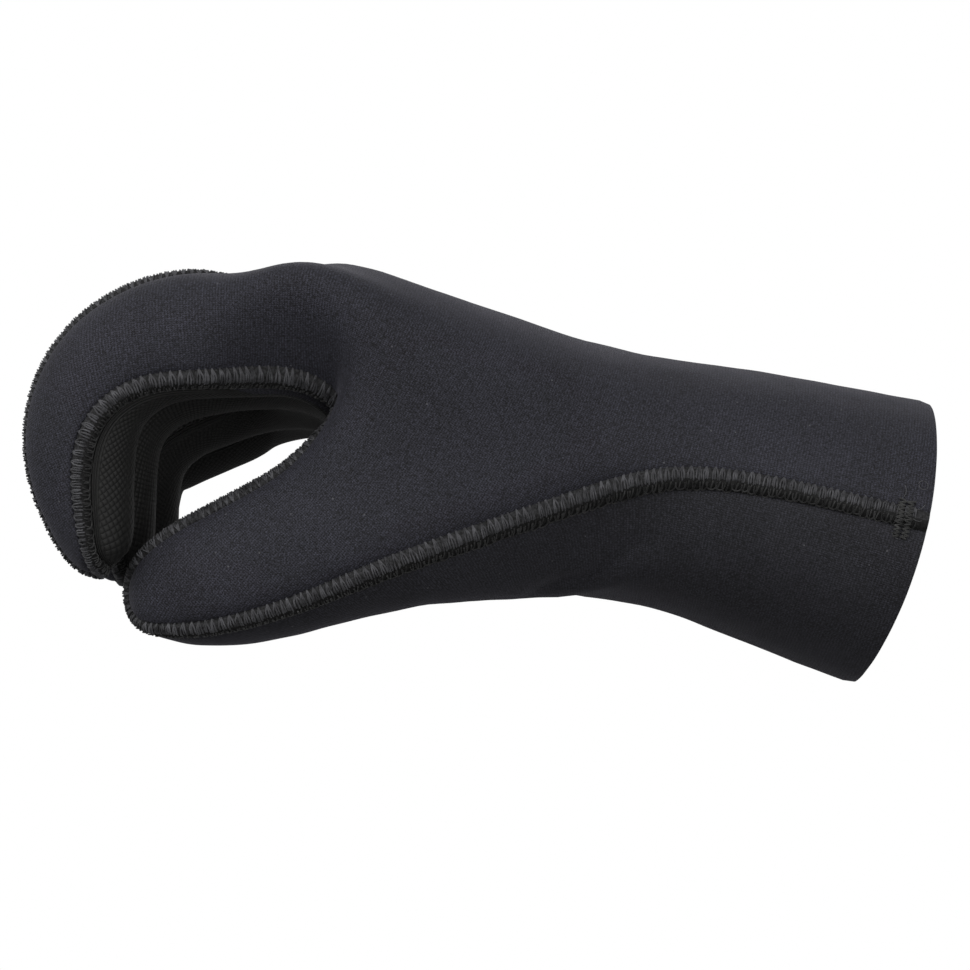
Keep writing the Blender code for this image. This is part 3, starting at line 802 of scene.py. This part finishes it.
def seam_rows(mesh):
    """The rows of points across the seam, from the cuff's thumb side to its other side.

    Each row runs from the palm edge over the ridge to the back edge.
    """
    skin = bmesh.new()
    skin.from_mesh(mesh)
    share = values(mesh, "ridge")
    steps = 2**FINE_LEVELS
    same = 0.1 / steps

    def beside(vert, strip, wanted):
        for edge in vert.link_edges:
            other = edge.other_vert(vert)
            kinds = {face.material_index for face in edge.link_faces}
            if strip in kinds and abs(share[other.index] - wanted) < same:
                return other

    ridge = {}
    for edge in skin.edges:
        a, b = edge.verts
        if min(share[a.index], share[b.index]) > 1 - same:
            ridge.setdefault(a, []).append(b)
            ridge.setdefault(b, []).append(a)
    ends = sorted((vert for vert, near in ridge.items() if len(near) == 1), key=lambda v: v.co.y)
    chain = []
    onward = ends[:1]
    while onward:
        chain.append(onward[0])
        onward = [vert for vert in ridge[chain[-1]] if vert not in chain[-2:]]
    rows = []
    reach = 0.0
    for before, vert in zip(chain[:1] + chain, chain):
        reach += (vert.co - before.co).length
        halves = []
        for strip in (PALM_STRIP, BACK_STRIP):
            half = [vert]
            for step in range(1, steps + 1):
                half.append(half[-1] and beside(half[-1], strip, 1 - step / steps))
            halves.append(half)
        row = halves[0][:0:-1] + halves[1]
        if all(row):
            rows.append(Row([v.co.copy() for v in row], [v.normal.copy() for v in row], reach))
    skin.free()
    return rows


class Seam:
    """The seam's surface, measured along it and across it."""

    def __init__(self, rows):
        self.rows = rows
        self.reaches = [row.reach for row in rows]
        self.length = rows[-1].reach

    def place(self, along, across, height):
        """The point this far along, across it from -1 to 1 and above it."""
        number = min(max(bisect(self.reaches, along), 1), len(self.rows) - 1)
        near, far = self.rows[number - 1 : number + 1]
        share = (along - near.reach) / (far.reach - near.reach)
        last = len(near.points) - 1
        column = (across + 1) / 2 * last
        left = min(max(int(column), 0), last - 1)
        aside = column - left
        point, normal = (
            (a[left] * (1 - aside) + a[left + 1] * aside) * (1 - share)
            + (b[left] * (1 - aside) + b[left + 1] * aside) * share
            for a, b in ((near.points, far.points), (near.normals, far.normals))
        )
        return point + normal.normalized() * height


def threads(name, runs, radius, material):
    """One piece of many threads, each run a list of points."""
    curve = bpy.data.curves.new(name, "CURVE")
    curve.dimensions = "3D"
    curve.bevel_depth = radius
    curve.bevel_resolution = 1
    curve.use_fill_caps = True
    for run in runs:
        spline = curve.splines.new("POLY")
        spline.points.add(len(run) - 1)
        for point, place in zip(spline.points, run):
            point.co = (*place, 1)
    curve.materials.append(material)
    return curve


def stitch_starts(seam, rng):
    """Where the stitches stand along the seam, a little unevenly, and how wide each one is."""
    starts = []
    reach = BARTACK_SETBACK
    while reach < seam.length - BARTACK_SETBACK:
        width = STITCH * rng.uniform(*STITCH_WIDTHS)
        starts.append((reach, width))
        reach += width
    return starts


def cover_threads(seam, rng):
    """Three legs for each stitch, from a bite at the back edge over the ridge."""
    runs = []
    for start, width in stitch_starts(seam, rng):
        for leg in (-1, 0, 1):
            lean = leg * rng.uniform(*COVER_LEAN) + rng.uniform(*COVER_STRAY)
            puff = rng.uniform(*COVER_PUFF)
            end = rng.uniform(*COVER_END)
            run = []
            for share in COVER_POINTS:
                across = COVER_START + (end - COVER_START) * share
                height = -1.0 if share in (0.0, 1.0) else puff * math.sin(math.pi * share) ** 0.5
                along = start + width * lean * smooth_step(share / COVER_LEAN_DONE)
                along += rng.uniform(*COVER_WAVER) * width
                run.append(seam.place(along, across, COVER_THREAD * height))
            runs.append(run)
    return runs


def loop_threads(seam, rng):
    """A chain of loops down the palm half of the seam, each thrown over the last."""
    runs = []
    closing, fullness = LOOP_BOW
    slant_start, slant_way = SLANT_REACH
    for start, width in stitch_starts(seam, rng):
        end = rng.uniform(*LOOP_END)
        tilt = rng.uniform(*LOOP_TILT)
        run = []
        for n in range(LOOP_STEPS + 1):
            share = n / LOOP_STEPS
            turn = math.radians(LOOP_TURN * (2 * share - 1))
            bow = max(math.cos(turn * closing), 0) ** fullness
            across = -LOOP_START - (end - LOOP_START) * bow
            along = start + width * (LOOP_WIDTH * math.sin(turn) + tilt)
            height = LOOP_RISE * (1 + share) + rng.uniform(*LOOP_UNEVEN)
            run.append(seam.place(along, across, LOOP_THREAD * height))
        slant = width * rng.uniform(*SLANT)
        across_loop = [
            seam.place(start + slant * share, slant_start + slant_way * share, LOOP_THREAD * height)
            for share, height in SLANT_POINTS
        ]
        runs += [run, across_loop]
    return runs


def bite_threads(seam, rng):
    """Short stitches beside the back edge, where the needle goes through the skin."""
    runs = []
    top, steepness = BITE_ARCH
    for start, width in stitch_starts(seam, rng):
        aside = rng.uniform(*BITE_PLACE)
        runs.append(
            [
                seam.place(start + width * n, aside, BITE_THREAD * (top - steepness * n**2))
                for n in BITE_POINTS
            ]
        )
    return runs


class CuffPatch:
    """A flat patch at the end of the seam, laid over the skin from outside."""

    def __init__(self, rims, number, surface):
        rim = rims[0][number]
        self.arm = (rims[1][number] - rim).normalized()
        self.across = (rims[0][number + 1] - rims[0][number - 1]).normalized()
        self.outward = self.across.cross(self.arm).normalized()
        if self.outward.dot(rim) < 0:
            self.outward = -self.outward
        if self.across.z > 0:
            self.across = -self.across
        self.middle = rim + self.arm * (BARTACK_SETBACK + BARTACK_WIDTH / 2)
        self.surface = surface

    def place(self, down, inward, height):
        """The point this far below the seam and further from the rim, above the skin."""
        start = self.middle + self.across * down + self.arm * inward + self.outward * PATCH_LIFT
        found = self.surface.ray_cast(start, -self.outward)[0]
        return found + self.outward * height


def bartack_threads(patch, rng):
    """Two columns of dense zigzag across the end of the seam."""
    uneven_down, uneven_inward = BARTACK_UNEVEN
    turn_height, arch_height = BARTACK_HEIGHTS
    runs = []
    for column in (-1, 1):
        turns = []
        for n in range(BARTACK_ROWS * 2 + 1):
            down = BARTACK_LENGTH * (n / (BARTACK_ROWS * 2) - 0.5) + BARTACK_DROP
            down += rng.uniform(-uneven_down, uneven_down)
            inward = column * BARTACK_WIDTH * BARTACK_EDGES[n % 2]
            turns.append(Vector((down, inward + rng.uniform(-uneven_inward, uneven_inward))))
        run = []
        for here, after in zip(turns, turns[1:]):
            for step in range(BARTACK_STEPS):
                share = step / BARTACK_STEPS
                height = turn_height + arch_height * math.sin(math.pi * share)
                run.append(patch.place(*here.lerp(after, share), BARTACK_THREAD * height))
        runs.append(run)
    return runs


def stray_threads(patch):
    """A curl of lint above the stitches and a few ends of thread beside them."""
    down, inward = CURL_MIDDLE
    radius, widening = CURL_RADIUS
    height, rise = STRAY_HEIGHTS
    curl = []
    for n in range(CURL_STEPS + 1):
        turn = math.radians(CURL_BEND * n)
        aside = Vector((math.sin(turn), math.cos(turn))) * (radius + widening * n)
        curl.append(patch.place((down + aside.x) * MM, (inward + aside.y) * MM, CURL_HEIGHT))
    runs = [curl]
    for down, inward, heading, length in STRAYS:
        run = []
        for n in range(STRAY_STEPS + 1):
            turn = math.radians(heading + STRAY_BEND * n)
            run.append(patch.place(down * MM, inward * MM, (height + rise * n) * MM))
            down += math.sin(turn) * length / STRAY_STEPS
            inward += math.cos(turn) * length / STRAY_STEPS
        runs.append(run)
    return runs


class Finish:
    """A material under construction, and short calls that add nodes to it."""

    def __init__(self, name, **settings):
        self.name = name
        self.material = bpy.data.materials.new(name)
        self.material.use_nodes = True
        self.tree = self.material.node_tree
        self.inputs = self.tree.nodes["Principled BSDF"].inputs
        for socket, value in settings.items():
            self.inputs[socket.replace("_", " ")].default_value = value
        self.position = self.add("ShaderNodeTexCoord", output="Object")

    def put(self, socket, value):
        if isinstance(value, bpy.types.NodeSocket):
            self.tree.links.new(value, socket)
        else:
            socket.default_value = value

    def add(self, kind, inputs=(), output=0, **settings):
        node = self.tree.nodes.new(kind)
        for key, value in settings.items():
            setattr(node, key, value)
        for key, value in dict(inputs).items():
            self.put(node.inputs[key], value)
        return node.outputs[output]

    def math(self, operation, *values):
        return self.add("ShaderNodeMath", enumerate(values), operation=operation)

    def noise(self, scale, detail=2.0):
        inputs = {"Vector": self.position, "Scale": scale, "Detail": detail}
        return self.add("ShaderNodeTexNoise", inputs)

    def cells(self, scale):
        return self.add("ShaderNodeTexVoronoi", {"Vector": self.position, "Scale": scale})

    def ramp(self, value, start, end, low=0.0, high=1.0):
        inputs = {"Value": value, 1: start, 2: end, 3: low, 4: high}
        return self.add("ShaderNodeMapRange", inputs)

    def mix(self, share, first, second):
        return self.add("ShaderNodeMix", {0: share, 6: first, 7: second}, 2, data_type="RGBA")

    def shade(self, share):
        """From the material's darkest colour to its lightest."""
        return self.mix(share, *((*colour, 1) for colour in SHADES[self.name]))

    def sheet(self):
        """The places on the unrolled sheet, in metres along the arm and across it."""
        flat = self.add("ShaderNodeUVMap", uv_map="flat")
        return [self.add("ShaderNodeSeparateXYZ", {0: flat}, axis) for axis in range(2)]

    def finished(self, colour, height, relief):
        """The material, with this colour and with this height in metres as its bump."""
        inputs = {"Height": self.math("MULTIPLY", height, relief), "Distance": 1.0}
        self.put(self.inputs["Base Color"], colour)
        self.put(self.inputs["Normal"], self.add("ShaderNodeBump", inputs))
        return self.material


def knit_height(finish):
    """The wales and courses of a fine jersey, from 0 to 1."""
    along, across = finish.sheet()
    wale = finish.math("MULTIPLY", along, 2 * math.pi / WALE)
    course = finish.math("MULTIPLY", across, 2 * math.pi / COURSE)
    ribs = finish.math("ABSOLUTE", finish.math("SINE", finish.math("MULTIPLY", wale, 0.5)))
    shift = finish.math("MULTIPLY", finish.math("COSINE", wale), COURSE_BEND)
    rows = finish.math("SINE", finish.math("ADD", course, shift))
    rows = finish.math("MULTIPLY_ADD", rows, 0.25, 0.25)
    return finish.math("MULTIPLY_ADD", ribs, 0.5, rows)


def fabric_material(name, lint_share=LINT_SHARE):
    """Nylon-faced neoprene, with a few pale specks of lint and painted shade in the knit's grooves.
    """
    finish = Finish(
        name,
        Roughness=0.75,
        Sheen_Weight=0.10,
        Sheen_Roughness=0.35,
        Sheen_Tint=SHEEN_TINT,
        Specular_IOR_Level=0.22,
    )
    knit = knit_height(finish)
    fuzz = finish.noise(FUZZ_SCALE)
    patches = finish.noise(PATCH_SCALE, detail=3.0)
    shade = finish.math("MULTIPLY", fuzz, FUZZ_SHARE)
    shade = finish.math("MULTIPLY_ADD", patches, 1 - FUZZ_SHARE, shade)
    shade = finish.ramp(shade, *FUZZ_SHADE)
    # painted shade: the colour darkens in the knit's grooves
    shade = finish.math("MULTIPLY", shade, finish.ramp(knit, *KNIT_SHADE))
    lint = finish.math("LESS_THAN", finish.cells(LINT_SCALE), LINT_SIZE)
    lint = finish.math("MULTIPLY", lint, lint_share)
    colour = finish.mix(lint, finish.shade(shade), (*LINT_COLOUR, 1))
    return finish.finished(colour, finish.math("MULTIPLY_ADD", fuzz, 0.5, knit), KNIT_RELIEF)


def grip_material(name):
    """The black rubber print of the palm and finger pads, embossed in small squares, with painted
    shade in the grooves between them.
    """
    finish = Finish(name, Roughness=0.62, Specular_IOR_Level=0.25)
    lines = []
    for place in finish.sheet():
        wave = finish.math("SINE", finish.math("MULTIPLY", place, math.pi / GRIP_PITCH))
        lines.append(finish.math("POWER", finish.math("ABSOLUTE", wave), 0.5))
    squares = finish.math("MULTIPLY", *lines)
    border = finish.add("ShaderNodeAttribute", output="Fac", attribute_name="border")
    ridges = finish.math("SINE", finish.math("MULTIPLY", border, 2 * math.pi * BORDER_RIDGES))
    ridges = finish.math("MULTIPLY_ADD", ridges, 0.5, 0.5)
    share = finish.ramp(border, *BORDER_BAND)
    height = finish.add("ShaderNodeMix", {0: share, 2: squares, 3: ridges}, data_type="FLOAT")
    worn = finish.ramp(finish.noise(1200.0, detail=3.0), 0.3, 0.7, low=0.5)
    # the colour follows the embossing's height: painted shade in its grooves, times the random
    # mottling of worn
    return finish.finished(finish.shade(finish.math("MULTIPLY", height, worn)), height, GRIP_RELIEF)


def thread_material(name, roughness=0.6):
    """Twisted polyester thread."""
    sheen = {"Sheen_Weight": 0.08, "Sheen_Roughness": 0.4}
    finish = Finish(name, Roughness=roughness, Specular_IOR_Level=0.3, **sheen)
    patches = finish.ramp(finish.noise(420.0), 0.3, 0.7)
    return finish.finished(finish.shade(patches), finish.noise(3200.0), relief=0.12 * MM)


def foam_material(name):
    """The cut edge of the neoprene: closed black cells, with painted shade in their hollows."""
    finish = Finish(name, Roughness=0.9, Specular_IOR_Level=0.2)
    cells = finish.cells(3500.0)
    # painted shade: each cell is darkest in its hollow middle
    return finish.finished(finish.shade(cells), cells, relief=0.15 * MM)


def bed_material(name):
    """The dense thread bed under the loops of the seam."""
    finish = Finish(name, Roughness=0.75, Specular_IOR_Level=0.2)
    fuzz = finish.noise(1500.0, detail=3.0)
    return finish.finished(finish.shade(finish.ramp(fuzz, 0.35, 0.7)), fuzz, relief=0.25 * MM)


def photo_camera():
    data = bpy.data.cameras.new("camera")
    data.lens = data.sensor_width * VIEW_DISTANCE / VIEW_WIDTH
    camera = add_object("camera", data)
    camera.location = VIEW_CENTRE - Vector((0, VIEW_DISTANCE, 0))
    camera.rotation_euler = (math.pi / 2, 0, 0)
    bpy.context.scene.camera = camera


def stage(name, material):
    """Names the studio's mesh that was added last and gives it this material."""
    obj = bpy.context.object
    obj.name = name
    obj.data.materials.append(material)
    return obj


def studio():
    """A white floor and surround, which light nothing, soft lights and an even sky."""
    white = Finish("studio_white")
    glow = white.add("ShaderNodeEmission", {"Strength": 1.0})
    white.put(white.tree.nodes["Material Output"].inputs["Surface"], glow)
    bpy.ops.mesh.primitive_uv_sphere_add(segments=48, ring_count=24, radius=SURROUND_RADIUS)
    surround = stage("surround", white.material)
    bpy.ops.mesh.primitive_plane_add(size=FLOOR_SIZE, location=(0, 0, FLOOR_DEPTH))
    floor = stage("floor", white.material)
    for obj in (surround, floor):
        obj.visible_diffuse = obj.visible_glossy = obj.visible_shadow = False
    bpy.ops.mesh.primitive_plane_add(size=SHADE_SIZE, location=(0, 0, SHADE_DEPTH))
    black = Finish("shade_black", Roughness=1.0, Base_Color=SHADE_COLOUR).material
    stage("shade_below", black).visible_camera = False
    world = bpy.data.worlds.new("studio")
    world.use_nodes = True
    sky = world.node_tree.nodes["Background"].inputs
    sky["Color"].default_value = WHITE
    sky["Strength"].default_value = SKY
    bpy.context.scene.world = world
    for name, place, size, power in LIGHTS:
        data = bpy.data.lights.new(name, "AREA")
        data.size, data.energy = size, power
        light = add_object(name, data)
        light.location = VIEW_CENTRE + Vector(place)
        light.rotation_euler = (-Vector(place)).to_track_quat("-Z", "Y").to_euler()
    bpy.context.scene.view_settings.view_transform = "Standard"


def skins(cage, rings):
    """The outer and the inner skin, divided, subdivided and in relief."""
    section, number = CROTCH
    outside, narrow = smooth_skin(cage), smooth_skin(build_cage(WALL)[0])
    tight = cage.tips + cage.webs + [cage.points[rings[section][number]]]
    inside = line_skin(outside, narrow, tight)
    outer = subdivided(lay_flat(divide(outside, SEAM_WIDTH)), FINE_LEVELS)
    inner = subdivided(divide(inside, SEAM_ROOT), FINE_LEVELS)
    raise_relief(outer, cage.webs)
    round_rim(outer, -RIM_ROUND)
    round_rim(inner, RIM_ROUND)
    part_off_grip(outer)
    return outer, inner


def dress_panels(outer, inner):
    lining = fabric_material("nylon_lining", lint_share=0.0)
    foam = foam_material("foam_edge")
    knit = [fabric_material("knit_neoprene")]
    # palm_knit carries painted shade of the palm side, as a darker copy of the knit
    palm = [fabric_material("palm_knit"), grip_material("grip_neoprene")]
    # seam_bed_palm is the bed made darker: painted shade of the seam's palm half
    beds = [bed_material(name) for name in ("seam_bed_back", "seam_bed_palm")]
    for name, kinds, faces, slot, node in (
        ("back_skin", (BACK,), knit, "knit_neoprene", "back_panel"),
        ("palm_skin", (PALM, GRIP), palm, "grip_neoprene", "palm_panel"),
        ("seam_strip", (BACK_STRIP, PALM_STRIP), beds, "seam_thread", "perimeter_seam"),
    ):
        dress(panel_solid(name, outer, inner, kinds, [*faces, lining, foam]), slot, node)


def dress_threads(outer, cage, rings):
    rng = random.Random(SEED)
    seam = Seam(seam_rows(outer))
    # loop_thread is the thread made darker: painted shade of the seam's palm half
    cover, loop, tack = (
        thread_material(name) for name in ("cover_thread", "loop_thread", "tack_thread")
    )
    for name, runs, radius, material in (
        ("seam_cover_threads", cover_threads, COVER_THREAD, cover),
        ("seam_loop_threads", loop_threads, LOOP_THREAD, loop),
        ("seam_bite_threads", bite_threads, BITE_THREAD, cover),
    ):
        dress(threads(name, runs(seam, rng), radius, material), "seam_thread")
    corners = [vert.co for vert in outer.vertices]
    surface = BVHTree.FromPolygons(corners, [face.vertices[:] for face in outer.polygons])
    rims = [[cage.points[n] for n in ring] for ring in rings[:2]]
    for name, number in (("bartack_thumb_side", 0), ("bartack_little_side", RING // 2)):
        patch = CuffPatch(rims, number, surface)
        piece = threads(name + "_threads", bartack_threads(patch, rng), BARTACK_THREAD, tack)
        dress(piece, "bartack_thread", name)
        if number == 0:
            lint = thread_material("lint", roughness=0.7)
            strays = threads("stray_threads", stray_threads(patch), STRAY_THREAD, lint)
            dress(strays, "bartack_thread")


def main():
    cage, rings = build_cage(0)
    outer, inner = skins(cage, rings)
    dress_panels(outer, inner)
    dress_threads(outer, cage, rings)
    photo_camera()
    studio()


main()
